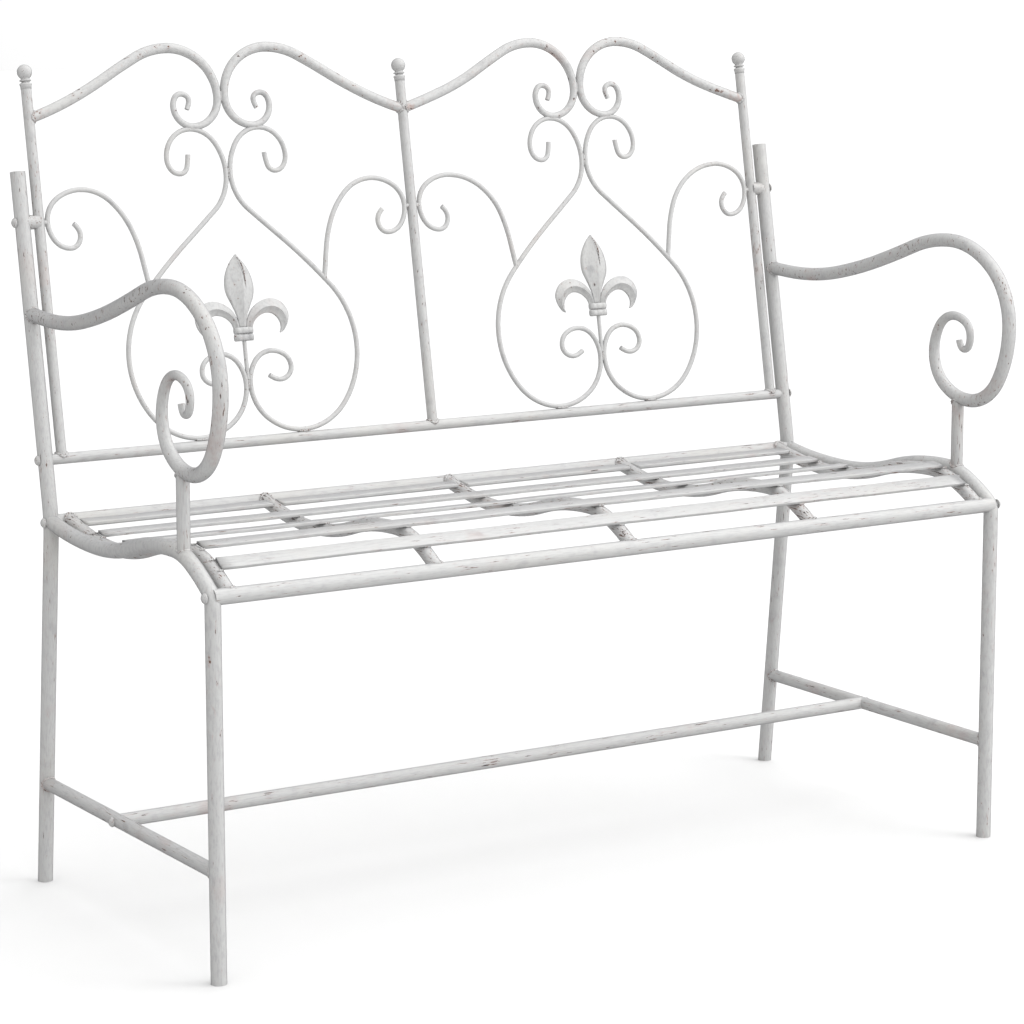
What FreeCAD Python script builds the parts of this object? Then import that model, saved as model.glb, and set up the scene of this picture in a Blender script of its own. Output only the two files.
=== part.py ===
import FreeCAD, Part
import math
import os
import Sketcher
from FreeCAD import Placement, Rotation, Vector

# Two-bay scrolled steel garden bench, in millimetres, +Z up, +X to the right of someone
# facing the bench, +Y towards the back.  The origin is on the ground, in the middle of the
# bench's box.  Every bent rod lies in one plane: a side-frame plane (YZ) or the leaning
# backrest plane.  Its centre line is a chain of tangent arcs through a few named points,
# each with a heading in degrees.

os.makedirs("parts", exist_ok=True)
doc = FreeCAD.newDocument("GardenBench")

# ---------------------------------------------------------------- driving dimensions
SIZES = {
    # side frames
    "leg_spacing": 1084,        # between the planes of the two side frames
    "tube_dia": 18,             # legs, uprights, seat rails
    "tube_wall": 1.5,
    "corner_height": 427,       # centre line of the front corner
    "corner_radius": 20,
    "corner_heading": 35,       # slope of the side rail where it leaves the corner
    "crest_depth": 92,          # the side rail's crest, behind the front leg
    "crest_height": 465,
    "dip_depth": 295,           # the side rail's lowest point
    "dip_height": 436,
    "seat_rear_depth": 417,     # where the side rail meets the upright
    "seat_rear_height": 447,
    "rear_foot_depth": 461,
    "upright_top": 853,
    "upright_bend": 150,
    "back_lean": 10.2,          # degrees from vertical
    # arms
    "arm_root_height": 688,
    "arm_crest_depth": 88,
    "arm_crest_height": 751,
    "arm_front_reach": 26,      # how far the arm's centre line runs in front of the leg
    "arm_scroll_bottom": 553,
    "arm_dia": 17,
    "arm_tip_dia": 8,
    "arm_post_dia": 15,
    "arm_post_depth": 67,
    # stretchers
    "stretcher_dia": 16,
    "stretcher_height": 124,
    "cross_stretcher_depth": 248,
    # seat
    "back_rail_height": 446,
    "bearer_dia": 16,
    "bearer_inset": 21,         # end bearers, inboard of the side rails
    "bearer_bay": 262,          # between the middle bearers
    "bearer_drop": 4,           # bearers below the side rails, at the crest and the dip
    "bearer_rise": 3,           # bearers above the back rail's centre line
    "slat_width": 20,
    "slat_thick": 4,
    "slat_inset": 3,            # slat ends, inboard of the end bearers' centre lines
    "slat_1_depth": 387,        # the rear slat, in four lengths between the bearers
    "slat_1_height": 448,
    "slat_2_depth": 330,
    "slat_3_depth": 264,
    "slat_4_depth": 76,
    "slat_5_depth": 35,
    # backrest
    "stile_dia": 12.5,
    "stile_inset": 21,
    "middle_stile_shift": 12,   # middle stile, left of the bench's middle
    "bottom_rail_dia": 13,
    "bottom_rail_height": 518.5,
    "stile_length": 441,
    "ball_dia": 18,
    "side_tie_gap": 1.5,        # between a side scroll and the stile it is tied to
    "heart_dia": 6,
    "side_scroll_dia": 6,
    "stem_dia": 5,
    "top_root_dia": 12.5,
    "top_tip_dia": 6,
    "top_root_rise": 404,       # above the bottom rail's centre line
    "top_crest_rise": 483,
    "heart_tip_rise": 384,
    "heart_belly": 156,         # half width of the heart
    "fleur_rise": 123,          # underside of the fleur's lower band
    "fleur_thick": 4,
    # fasteners
    "bolt_dia": 6,
    "bolt_head_dia": 12,
    "bolt_head_rise": 4.5,
    "bolt_grip": 18,            # thread inside the rail
    "hole_clearance": 0.5,
    "plug_length": 22,
    "spacer_dia": 17,
    "upper_bolt_drop": 58.9,    # below the top of the upright
    "cap_depth": 14,
}

sheet = doc.addObject("Spreadsheet::Sheet", "Sizes")
for row, (alias, value) in enumerate(SIZES.items(), start=1):
    sheet.set(f"A{row}", alias)
    sheet.set(f"B{row}", str(value))
    sheet.setAlias(f"B{row}", alias)
doc.recompute()


def size(alias):
    """A driving dimension, read back from the sheet."""
    return float(sheet.get(alias))


# ---------------------------------------------------------------- planes and centre lines
LEAN = math.radians(size("back_lean"))
HALF = size("leg_spacing") / 2
TUBE = size("tube_dia")
BACK_AXIS = Vector(0, math.sin(LEAN), math.cos(LEAN))
SIDES = {"left": -1, "right": 1}


def at(x, depth, height):
    """Point of the bench; depth is counted back from the front legs' centre line."""
    return Vector(x, depth - ORIGIN_DEPTH, height)


def upright_depth(height):
    """Depth of the upright's centre line above the seat."""
    return size("seat_rear_depth") + (height - size("seat_rear_height")) * math.tan(LEAN)


# the origin is halfway between the fronts of the arms and the backs of the finials
NECK_LENGTH = 8
NECK_RADIUS = 0.31 * size("stile_dia")
BALL_RISE = NECK_LENGTH + math.sqrt((size("ball_dia") / 2) ** 2 - NECK_RADIUS ** 2)
FRONT_FACE = -size("arm_front_reach") - size("arm_dia") / 2
BALL_DEPTH = (upright_depth(size("bottom_rail_height"))
              + (size("stile_length") + BALL_RISE) * math.sin(LEAN))
ORIGIN_DEPTH = (FRONT_FACE + BALL_DEPTH + size("ball_dia") / 2) / 2


def side_plane(x):
    """Plane of a side frame: local x is depth, local y is height."""
    turn = Rotation(Vector(0, 1, 0), Vector(0, 0, 1), Vector(1, 0, 0), "ZXY")
    return Placement(at(x, 0, 0), turn)


def back_plane(x):
    """Plane of the backrest: local y runs up it from the bottom rail's centre line."""
    height = size("bottom_rail_height")
    turn = Rotation(Vector(1, 0, 0), 90 - size("back_lean"))
    return Placement(at(x, upright_depth(height), height), turn)


def direction(heading):
    angle = math.radians(heading)
    return Vector(math.cos(angle), math.sin(angle), 0)


def arc_from(start, tangent, end):
    """Arc that leaves start along tangent and passes through end, or a straight edge."""
    chord = end - start
    side = tangent.x * chord.y - tangent.y * chord.x
    if abs(side) < 1e-6 * chord.Length:
        return Part.LineSegment(start, end)
    normal = Vector(-tangent.y, tangent.x, 0)
    radius = chord.Length ** 2 / (2 * side)
    centre = start + normal * radius
    half_turn = math.atan2(side, tangent.dot(chord))
    spoke = start - centre
    mid = centre + Rotation(Vector(0, 0, 1), math.degrees(half_turn)).multVec(spoke)
    return Part.Arc(start, mid, end)


def reversed_curve(curve):
    """The same arc or edge, run the other way."""
    start, end = curve.StartPoint, curve.EndPoint
    if isinstance(curve, Part.LineSegment):
        return Part.LineSegment(end, start)
    middle = curve.value((curve.FirstParameter + curve.LastParameter) / 2)
    return Part.Arc(end, middle, start)


def smooth_line(nodes):
    """Tangent arcs through nodes (x, y, heading), two arcs between each pair."""
    curves = []
    for (x0, y0, h0), (x1, y1, h1) in zip(nodes, nodes[1:]):
        start, end = Vector(x0, y0, 0), Vector(x1, y1, 0)
        t0, t1 = direction(h0), direction(h1)
        gap = end - start
        spread = 2 * (1 - t0.dot(t1))
        along = gap.dot(t0 + t1)
        if spread < 1e-9:
            reach = gap.Length ** 2 / (2 * along)
        else:
            reach = (math.sqrt(along ** 2 + spread * gap.Length ** 2) - along) / spread
        joint = (start + t0 * reach + end - t1 * reach) * 0.5
        curves.append(arc_from(start, t0, joint))
        curves.append(reversed_curve(arc_from(end, t1 * -1, joint)))
    return curves


def point_at_height(curves, height):
    """First point of a centre line at the given local height."""
    for curve in curves:
        start = curve.value(curve.FirstParameter)
        end = curve.value(curve.LastParameter)
        if min(start.y, end.y) <= height <= max(start.y, end.y):
            low, high = curve.FirstParameter, curve.LastParameter
            rising = end.y > start.y
            for _ in range(50):
                middle = (low + high) / 2
                if (curve.value(middle).y < height) == rising:
                    low = middle
                else:
                    high = middle
            return curve.value(low)
    raise ValueError("the centre line never reaches that height")


def mirrored(nodes):
    """The same nodes on the other side of local x = 0."""
    return [(-x, y, 180 - heading) for x, y, heading in nodes]


# ---------------------------------------------------------------- ways of making a piece
def origin_plane(body, role):
    return next(f for f in body.Origin.OriginFeatures if f.Role == role)


def sketch_on(body, role, name):
    sketch = body.newObject("Sketcher::SketchObject", name)
    sketch.AttachmentSupport = [(origin_plane(body, role), "")]
    sketch.MapMode = "FlatFace"
    return sketch


def bent_rod(label, frame, curves, diameter):
    """Round bar along a flat centre line; diameter is an expression on the sheet."""
    start = curves[0].value(curves[0].FirstParameter)
    if isinstance(curves[0], Part.LineSegment):
        tangent = (curves[0].EndPoint - curves[0].StartPoint).normalize()
    else:
        tangent = curves[0].tangent(curves[0].FirstParameter)[0]
    local = Placement(start, Rotation(Vector(1, 0, 0), tangent))
    body = doc.addObject("PartDesign::Body", label)
    body.Placement = frame.multiply(local)
    path = sketch_on(body, "XY_Plane", label + "_path")
    to_local = local.inverse().toMatrix()
    for curve in curves:
        copy = curve.copy()
        copy.transform(to_local)
        path.addGeometry(copy)
    section = sketch_on(body, "YZ_Plane", label + "_section")
    section.addGeometry(Part.Circle(Vector(0, 0, 0), Vector(0, 0, 1), 5))
    section.addConstraint(Sketcher.Constraint("Coincident", 0, 3, -1, 1))
    across = section.addConstraint(Sketcher.Constraint("Diameter", 0, 10))
    section.setExpression(f"Constraints[{across}]", diameter)
    doc.recompute()
    pipe = body.newObject("PartDesign::AdditivePipe", label + "_pipe")
    pipe.Profile = (section, [""])
    pipe.Spine = (path, [f"Edge{i + 1}" for i in range(len(curves))])
    body.Tip = pipe
    return body


def tapered_rod(label, frame, curves, even, diameter, tip_diameter):
    """Round bar that is even along its first curves and then thins steadily to its tip."""
    bar = bent_rod(label + "_even", frame, curves[:even], diameter)
    thinning = curves[even:]
    shell = Part.BRepOffsetAPI.MakePipeShell(Part.Wire([curve.toShape() for curve in thinning]))
    first, last = thinning[0], thinning[-1]
    for curve, end, across in ((first, first.FirstParameter, size(diameter.split(".")[1])),
                               (last, last.LastParameter, size(tip_diameter))):
        circle = Part.Circle(curve.value(end), curve.tangent(end)[0], across / 2)
        shell.add(Part.Wire([circle.toShape()]))
    shell.build()
    shell.makeSolid()
    tip = doc.addObject("Part::Feature", label + "_tip")
    tip.Shape = shell.shape()
    tip.Placement = frame
    whole = doc.addObject("Part::Fuse", label)
    whole.Base = bar
    whole.Tool = tip
    return whole


def straight_rod(label, start, end, diameter):
    """Round bar between two points; diameter is an expression on the sheet."""
    bar = doc.addObject("Part::Cylinder", label)
    bar.setExpression("Radius", f"({diameter}) / 2")
    bar.Height = (end - start).Length
    bar.Placement = Placement(start, Rotation(Vector(0, 0, 1), end - start))
    return bar


def box(label, low, high, frame=Placement()):
    block = doc.addObject("Part::Box", label)
    block.Length, block.Width, block.Height = (high[0] - low[0], high[1] - low[1], high[2] - low[2])
    block.Placement = frame.multiply(Placement(Vector(*low), Rotation()))
    return block


def cut(label, base, *tools):
    """base without the tools, as one solid piece."""
    piece = doc.addObject("Part::Cut", label)
    piece.Base = base
    if len(tools) == 1:
        piece.Tool = tools[0]
    else:
        union = doc.addObject("Part::MultiFuse", label + "_tools")
        union.Shapes = list(tools)
        piece.Tool = union
    return piece


def group(label, members):
    """Like pieces that share one node, each still its own solid."""
    compound = doc.addObject("Part::Compound", label)
    compound.Links = members
    return compound


NODES = []


def node(piece, label):
    piece.Label = label
    NODES.append(piece)
    return piece


# ---------------------------------------------------------------- side frames
floor = box("below_ground", (-2000, -1000, -400), (2000, 1000, 0))
BORE = "Sizes.tube_dia - 2 * Sizes.tube_wall"
REAR_X = size("seat_rear_depth")
REAR_Z = size("seat_rear_height")
BACK_HEADING = 90 - size("back_lean")


def upright_line():
    """Rear leg and back upright in one tube, bent at the seat."""
    foot = Vector(size("rear_foot_depth"), 0, 0)
    knee = Vector(REAR_X, REAR_Z, 0)
    leg = (knee - foot).normalize()
    back = direction(BACK_HEADING)
    turn = math.acos(leg.dot(back))
    trim = size("upright_bend") * math.tan(turn / 2)
    bend_start = knee - leg * trim
    bend_end = knee + back * trim
    top = Vector(upright_depth(size("upright_top")), size("upright_top"), 0)
    below = foot - leg * TUBE
    return [Part.LineSegment(below, bend_start), arc_from(bend_start, leg, bend_end),
            Part.LineSegment(bend_end, top)]


REAR_HEADING = 11       # slope of the seat's curve where it meets the upright


def rail_nodes(drop=0):
    """The seat's curve from the front corner to the upright, lower by drop between them."""
    crest = (size("crest_depth"), size("crest_height") - drop, 0)
    dip = (size("dip_depth"), size("dip_height") - drop, 0)
    slope = 2.1 * math.degrees(math.atan2(dip[1] - crest[1], dip[0] - crest[0]))
    middle = ((crest[0] + dip[0]) / 2, (crest[1] + dip[1]) / 2, slope)
    corner = (0, size("corner_height"), size("corner_heading"))
    rear = (REAR_X, REAR_Z, REAR_HEADING)
    return [corner, crest, middle, dip, rear]


def hoop_line():
    """Front leg and side rail in one tube, with a tight bend at the front corner."""
    curve = smooth_line(rail_nodes())
    corner = Vector(0, size("corner_height"), 0)
    heading = direction(size("corner_heading"))
    turn = math.radians(90 - size("corner_heading"))
    trim = size("corner_radius") * math.tan(turn / 2)
    bend_start = corner - Vector(0, trim, 0)
    bend_end = corner + heading * trim
    crest_x, crest_y, _ = rail_nodes()[1]
    first = smooth_line([(bend_end.x, bend_end.y, size("corner_heading")), (crest_x, crest_y, 0)])
    return [Part.LineSegment(Vector(0, 0, 0), bend_start),
            arc_from(bend_start, Vector(0, 1, 0), bend_end)] + first + curve[2:]


def arm_line():
    crest_x, crest_y = size("arm_crest_depth"), size("arm_crest_height")
    front = -size("arm_front_reach")
    bottom = size("arm_scroll_bottom")
    tall = crest_y - bottom
    root = size("arm_root_height")
    root_x = upright_depth(root)
    rise_x = crest_x + 0.38 * (root_x - crest_x)
    return smooth_line([
        (root_x, root, 184),
        (root_x - 65, root - 3, 180),
        (rise_x, root + 0.42 * (crest_y - root), 162.5),
        (crest_x, crest_y, 180),
        (front, bottom + 0.49 * tall, 270),
        (crest_x - 42, bottom, 360),
        (crest_x + 27, bottom + 0.285 * tall, 450),
        (crest_x - 11, bottom + 0.525 * tall, 540),
        (crest_x - 42, bottom + 0.405 * tall, 630),
        (crest_x - 31, bottom + 0.32 * tall, 720),
        (crest_x - 21, bottom + 0.375 * tall, 795),
    ])


def bolt_hole(label, side, depth, height, length):
    """Cross hole through a side-frame tube, on the bolt's line."""
    inner = at(SIDES[side] * (HALF - length / 2), depth, height)
    outer = at(SIDES[side] * (HALF + length / 2), depth, height)
    return straight_rod(label, inner, outer, "Sizes.bolt_dia + Sizes.hole_clearance")


UPPER_Z = size("upright_top") - size("upper_bolt_drop")
RAIL_Z = size("bottom_rail_height")
BACK_RAIL_Z = size("back_rail_height")
BOLT_POINTS = {
    "upper_back": (upright_depth(UPPER_Z), UPPER_Z),
    "lower_back": (upright_depth(RAIL_Z), RAIL_Z),
    "rear_seat": (upright_depth(BACK_RAIL_Z), BACK_RAIL_Z),
    "front_seat": (0, size("corner_height")),
    "stretcher": (size("cross_stretcher_depth"), size("stretcher_height")),
}

POST_SINK = 4           # the arm post starts inside the side rail, below the crest
uprights, hoops, stretchers = {}, {}, {}
for side, sign in SIDES.items():
    frame = side_plane(sign * HALF)
    holes = {
        name: bolt_hole(f"{side}_{name}_hole", side, depth, height, 2 * TUBE)
        for name, (depth, height) in BOLT_POINTS.items()
    }

    uprights[side] = bent_rod(f"{side}_upright_bar", frame, upright_line(), "Sizes.tube_dia")
    bore = bent_rod(f"{side}_upright_bore", frame, upright_line(), BORE)
    drilled = cut(f"{side}_upright_cut", uprights[side], bore, floor, holes["upper_back"],
                  holes["lower_back"], holes["rear_seat"])
    node(drilled, f"{side}_upright")

    hoops[side] = bent_rod(f"{side}_hoop_bar", frame, hoop_line(), "Sizes.tube_dia")
    bore = bent_rod(f"{side}_hoop_bore", frame, hoop_line(), BORE)
    coped = cut(f"{side}_hoop_cut", hoops[side], bore, uprights[side], holes["front_seat"])
    node(coped, f"{side}_seat_rail_and_leg")

    # the arm's scroll thins towards its tip
    curves = arm_line()
    bar = tapered_rod(f"{side}_arm_bar", frame, curves, 10, "Sizes.arm_dia", "arm_tip_dia")
    node(cut(f"{side}_arm_cut", bar, uprights[side]), f"{side}_arm")

    post_y = size("arm_post_depth")
    post_foot = at(sign * HALF, post_y, size("crest_height") - POST_SINK)
    post_top = at(sign * HALF, post_y, size("arm_scroll_bottom"))
    post = straight_rod(f"{side}_post_bar", post_foot, post_top, "Sizes.arm_post_dia")
    node(cut(f"{side}_post_cut", post, hoops[side], bar), f"{side}_arm_post")

    level = size("stretcher_height")
    heel = size("rear_foot_depth")
    rear = heel + (REAR_X - heel) * level / REAR_Z
    bar = straight_rod(f"{side}_stretcher_bar", at(sign * HALF, 0, level),
                       at(sign * HALF, rear, level), "Sizes.stretcher_dia")
    stretchers[side] = bar
    node(cut(f"{side}_stretcher_cut", bar, uprights[side], hoops[side], holes["stretcher"]),
         f"{side}_side_stretcher")

# ---------------------------------------------------------------- rails between the frames


def bored_rail(label, depth, height, diameter, bore, ends):
    """Round tube from frame to frame, coped over the frame tubes."""
    left, right = at(-HALF, depth, height), at(HALF, depth, height)
    bar = straight_rod(label + "_bar", left, right, diameter)
    hollow = straight_rod(label + "_bore", left, right, bore)
    node(cut(label + "_cut", bar, hollow, *ends), label)
    return bar


both_uprights = [uprights[side] for side in SIDES]
front_rail = bored_rail("seat_front_rail", 0, size("corner_height"), "Sizes.tube_dia", BORE,
                        [hoops[side] for side in SIDES])
back_rail = bored_rail("seat_back_rail", upright_depth(BACK_RAIL_Z), BACK_RAIL_Z,
                       "Sizes.tube_dia", BORE, both_uprights)
cross_rail = bored_rail("cross_stretcher", size("cross_stretcher_depth"), size("stretcher_height"),
                        "Sizes.stretcher_dia", "Sizes.stretcher_dia - 2 * Sizes.tube_wall",
                        [stretchers[side] for side in SIDES])
bottom_rail = bored_rail("back_bottom_rail", upright_depth(RAIL_Z), RAIL_Z,
                         "Sizes.bottom_rail_dia", "Sizes.bottom_rail_dia - 2 * Sizes.tube_wall",
                         both_uprights)

# ---------------------------------------------------------------- seat bearers and slats
end_bearer_x = HALF - size("bearer_inset")
BEARERS = {
    "left_end_bearer": -end_bearer_x,
    "left_bearer": -size("bearer_bay"),
    "middle_bearer": 0,
    "right_bearer": size("bearer_bay"),
    "right_end_bearer": end_bearer_x,
}


bearer_nodes = rail_nodes(size("bearer_drop"))
bearer_nodes[-1] = (upright_depth(BACK_RAIL_Z) - 1, BACK_RAIL_Z + size("bearer_rise"), 14)
bearer_curve = smooth_line(bearer_nodes)
bearers = []
for label, x in BEARERS.items():
    bar = bent_rod(label + "_bar", side_plane(x), bearer_curve, "Sizes.bearer_dia")
    bearers.append(bar)
    node(cut(label + "_cut", bar, front_rail, back_rail), label)

SLAT_HALF = end_bearer_x - size("slat_inset")


def on_bearer(depth):
    """Height and slope of the bearers' centre line at a depth."""
    for curve in bearer_curve:
        low, high = curve.FirstParameter, curve.LastParameter
        if curve.value(low).x <= depth <= curve.value(high).x:
            for _ in range(50):
                middle = (low + high) / 2
                if curve.value(middle).x < depth:
                    low = middle
                else:
                    high = middle
            tangent = curve.tangent(low)[0]
            return curve.value(low), math.degrees(math.atan2(tangent.y, tangent.x))
    raise ValueError("a slat lies beyond the bearers")


def slat_bar(number, frame, left, right, rest):
    """Flat bar whose underside is at rest above the frame's origin."""
    bar = doc.addObject("Part::Box", f"seat_slat_{number}_bar")
    bar.Length = right - left
    bar.setExpression("Width", "Sizes.slat_width")
    bar.setExpression("Height", "Sizes.slat_thick")
    corner = Vector(left, -size("slat_width") / 2, rest)
    bar.Placement = frame.multiply(Placement(corner, Rotation()))
    return bar


# the rear slat meets the bearers at half their height, so it is welded in between them
slat_frame = Placement(at(0, size("slat_1_depth"), size("slat_1_height")), Rotation())
lengths = []
spots = list(BEARERS.values())
for left, right in zip(spots, spots[1:]):
    bar = slat_bar(1, slat_frame, left, right, -size("slat_thick") / 2)
    lengths.append(cut("seat_slat_1_length", bar, *bearers))
node(group("seat_slat_1_lengths", lengths), "seat_slat_1")

# the other slats lie on the bearers, tipped to their slope
for number in (2, 3, 4, 5):
    point, slope = on_bearer(size(f"slat_{number}_depth"))
    slat_frame = Placement(at(0, point.x, point.y), Rotation(Vector(1, 0, 0), slope))
    bar = slat_bar(number, slat_frame, -SLAT_HALF, SLAT_HALF, size("bearer_dia") / 2)
    node(cut(f"seat_slat_{number}_cut", bar, *bearers), f"seat_slat_{number}")

# ---------------------------------------------------------------- backrest frame
STILE_X = HALF - size("stile_inset")
MIDDLE_X = -size("middle_stile_shift")
STILES = {"left": -STILE_X, "middle": MIDDLE_X, "right": STILE_X}
BOLT_BITE = 4           # how far past its middle an outer stile is drilled
stiles = {}
for place, x in STILES.items():
    base = back_plane(x).multVec(Vector(0, 0, 0))
    top = base + BACK_AXIS * size("stile_length")
    stiles[place] = straight_rod(f"{place}_stile_bar", base, top, "Sizes.stile_dia")
    tools = [bottom_rail]
    if place in SIDES:
        centre = at(x, *BOLT_POINTS["upper_back"])
        outward = Vector(SIDES[place], 0, 0)
        tools.append(straight_rod(f"{place}_stile_hole", centre - outward * BOLT_BITE,
                                  centre + outward * TUBE, "Sizes.bolt_dia"))
    node(cut(f"{place}_stile_cut", stiles[place], *tools), f"{place}_stile")

# turned finials: a neck with two rings under a ball, one on each stile
finials = []
for place, x in STILES.items():
    label = place + "_finial"
    radius = size("ball_dia") / 2
    stile_r = size("stile_dia") / 2
    ring_r = 0.92 * stile_r
    body = doc.addObject("PartDesign::Body", label)
    top = Placement(Vector(0, size("stile_length"), 0), Rotation())
    body.Placement = back_plane(x).multiply(top)
    profile = sketch_on(body, "XY_Plane", label + "_profile")
    outline = [
        (0, 0), (stile_r, 0), (stile_r, 2), (NECK_RADIUS, 3), (NECK_RADIUS, 4.5),
        (ring_r, 5.2), (ring_r, 7), (NECK_RADIUS, NECK_LENGTH),
    ]
    points = [Vector(px, py, 0) for px, py in outline]
    for first, second in zip(points, points[1:]):
        profile.addGeometry(Part.LineSegment(first, second))
    profile.addGeometry(Part.Arc(points[-1], Vector(radius, BALL_RISE, 0),
                                 Vector(0, BALL_RISE + radius, 0)))
    profile.addGeometry(Part.LineSegment(Vector(0, BALL_RISE + radius, 0), points[0]))
    doc.recompute()
    turned = body.newObject("PartDesign::Revolution", label + "_turned")
    turned.Profile = (profile, [""])
    turned.ReferenceAxis = (profile, ["V_Axis"])
    turned.Angle = 360
    body.Tip = turned
    finials.append(body)
node(group("finial_group", finials), "ball_finials")

# ---------------------------------------------------------------- backrest scrolls
HEART_R = size("heart_dia") / 2
SIDE_R = size("side_scroll_dia") / 2
TOP_ROOT = size("top_root_rise")
TOP_CREST = size("top_crest_rise")
HEART_TIP = size("heart_tip_rise")
BELLY = size("heart_belly")
HEART_REST = size("bottom_rail_dia") / 2 + HEART_R
TIE_RISE = 279          # the side scrolls' widest point, where they are tied to the stiles
TOP_TOUCH_R = (0.55 * size("top_root_dia") + 0.45 * size("top_tip_dia")) / 2


def top_scroll_nodes(bay_half):
    """From the stile over the crest into the curl; local x is 0 where the pair touch."""
    return [
        (bay_half, TOP_ROOT - 2, 163),
        (150, TOP_ROOT + 0.58 * (TOP_CREST - TOP_ROOT), 149),
        (67, TOP_CREST, 180),
        (TOP_TOUCH_R, TOP_CREST - 60, 270),
        (40, TOP_CREST - 96, 360),
        (65.5, TOP_CREST - 71, 450),
        (54, TOP_CREST - 56, 540),
        (44, TOP_CREST - 64, 630),
        (47.5, TOP_CREST - 75, 655),
    ]


def heart_nodes():
    """From the upper curl down round the belly into the lower curl."""
    return [
        (52, HEART_TIP - 31, 275),
        (65, HEART_TIP - 54, 360),
        (81, HEART_TIP - 35, 450),
        (47, HEART_TIP, 540),
        (HEART_R, HEART_TIP - 55, 630),
        (64, HEART_TIP - 136, 679),
        (BELLY, 109, 630),
        (70, HEART_REST, 540),
        (HEART_R, 70, 450),
        (35, 109, 360),
        (61, 88, 270),
        (45, 73, 180),
        (30, 79, 145),
    ]


def side_scroll_nodes(heart_curves, bay_half):
    """From its foot on the heart up and over to its curl beside the stile."""
    root = point_at_height(heart_curves[10:13], 194)
    outer = bay_half - size("stile_dia") / 2 - size("side_tie_gap") - SIDE_R
    return [
        (root.x, root.y, 80),
        (root.x + 16, 264, 68),
        (outer - 45, 316, 0),
        (outer, TIE_RISE, -90),
        (outer - 27, 247, -180),
        (outer - 40.5, 262, -270),
        (outer - 33, 276, -320),
    ]


def as_drawn(nodes):
    return nodes


BAYS = {
    "left": ((MIDDLE_X - STILE_X) / 2, (MIDDLE_X + STILE_X) / 2),
    "right": ((MIDDLE_X + STILE_X) / 2, (STILE_X - MIDDLE_X) / 2),
}
PAST_STILE = 0.2        # share of the half bay trimmed off beyond the stile's axis
ties = []
for bay, (centre_x, bay_half) in BAYS.items():
    frame = back_plane(centre_x)
    for hand in ("outer", "inner"):
        name = f"{bay}_{hand}"
        faces_right = (bay == "right") == (hand == "outer")
        turned_to_side = as_drawn if faces_right else mirrored
        stile = stiles["middle" if hand == "inner" else bay]

        # a solid bar drawn down to a thin curl, welded to the stile
        curves = smooth_line(turned_to_side(top_scroll_nodes(bay_half)))
        bar = tapered_rod(name + "_top_bar", frame, curves, 4, "Sizes.top_root_dia", "top_tip_dia")
        near_x, far_x = sorted(way * bay_half for way in (
            (1, 1 + PAST_STILE) if faces_right else (-1, -1 - PAST_STILE)))
        beyond = box(name + "_beyond_stile", (near_x, 0, -bay_half),
                     (far_x, size("stile_length"), bay_half), frame)
        node(cut(name + "_top_cut", bar, stile, beyond), f"{name}_top_scroll")

        heart_curves = smooth_line(heart_nodes())
        curves = smooth_line(turned_to_side(heart_nodes()))
        heart = bent_rod(name + "_heart_bar", frame, curves, "Sizes.heart_dia")
        node(heart, f"{name}_heart_scroll")

        curves = smooth_line(turned_to_side(side_scroll_nodes(heart_curves, bay_half)))
        bar = bent_rod(name + "_side_bar", frame, curves, "Sizes.side_scroll_dia")
        node(cut(name + "_side_cut", bar, heart), f"{name}_side_scroll")

        # the weld stub that ties the side scroll to its stile
        sign = 1 if faces_right else -1
        touch = bay_half - size("stile_dia") / 2 - size("side_tie_gap") - SIDE_R
        inner_end = frame.multVec(Vector(sign * touch, TIE_RISE, 0))
        outer_end = frame.multVec(Vector(sign * bay_half, TIE_RISE, 0))
        stub = straight_rod(name + "_tie_bar", inner_end, outer_end, "Sizes.side_scroll_dia")
        ties.append(cut(name + "_tie", stub, stile, bar))
node(group("tie_group", ties), "scroll_ties")

# ---------------------------------------------------------------- stems and fleurs-de-lis
FLEUR = size("fleur_rise")
THICK = size("fleur_thick")


def flat_plate(label, frame, curves, thickness):
    """Plate cut to an outline in the backrest plane, centred on it."""
    body = doc.addObject("PartDesign::Body", label)
    body.Placement = frame
    outline = sketch_on(body, "XY_Plane", label + "_outline")
    for curve in curves:
        outline.addGeometry(curve)
    doc.recompute()
    pad = body.newObject("PartDesign::Pad", label + "_pad")
    pad.Profile = (outline, [""])
    pad.SideType = "Symmetric"
    pad.setExpression("Length", thickness)
    body.Tip = pad
    return body


def arcs(*points):
    """Closed outline of arcs: start, middle, end, middle, end ..."""
    ends = [Vector(x, y, 0) for x, y in points]
    return [Part.Arc(*ends[i:i + 3]) for i in range(0, len(ends) - 2, 2)]


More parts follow.
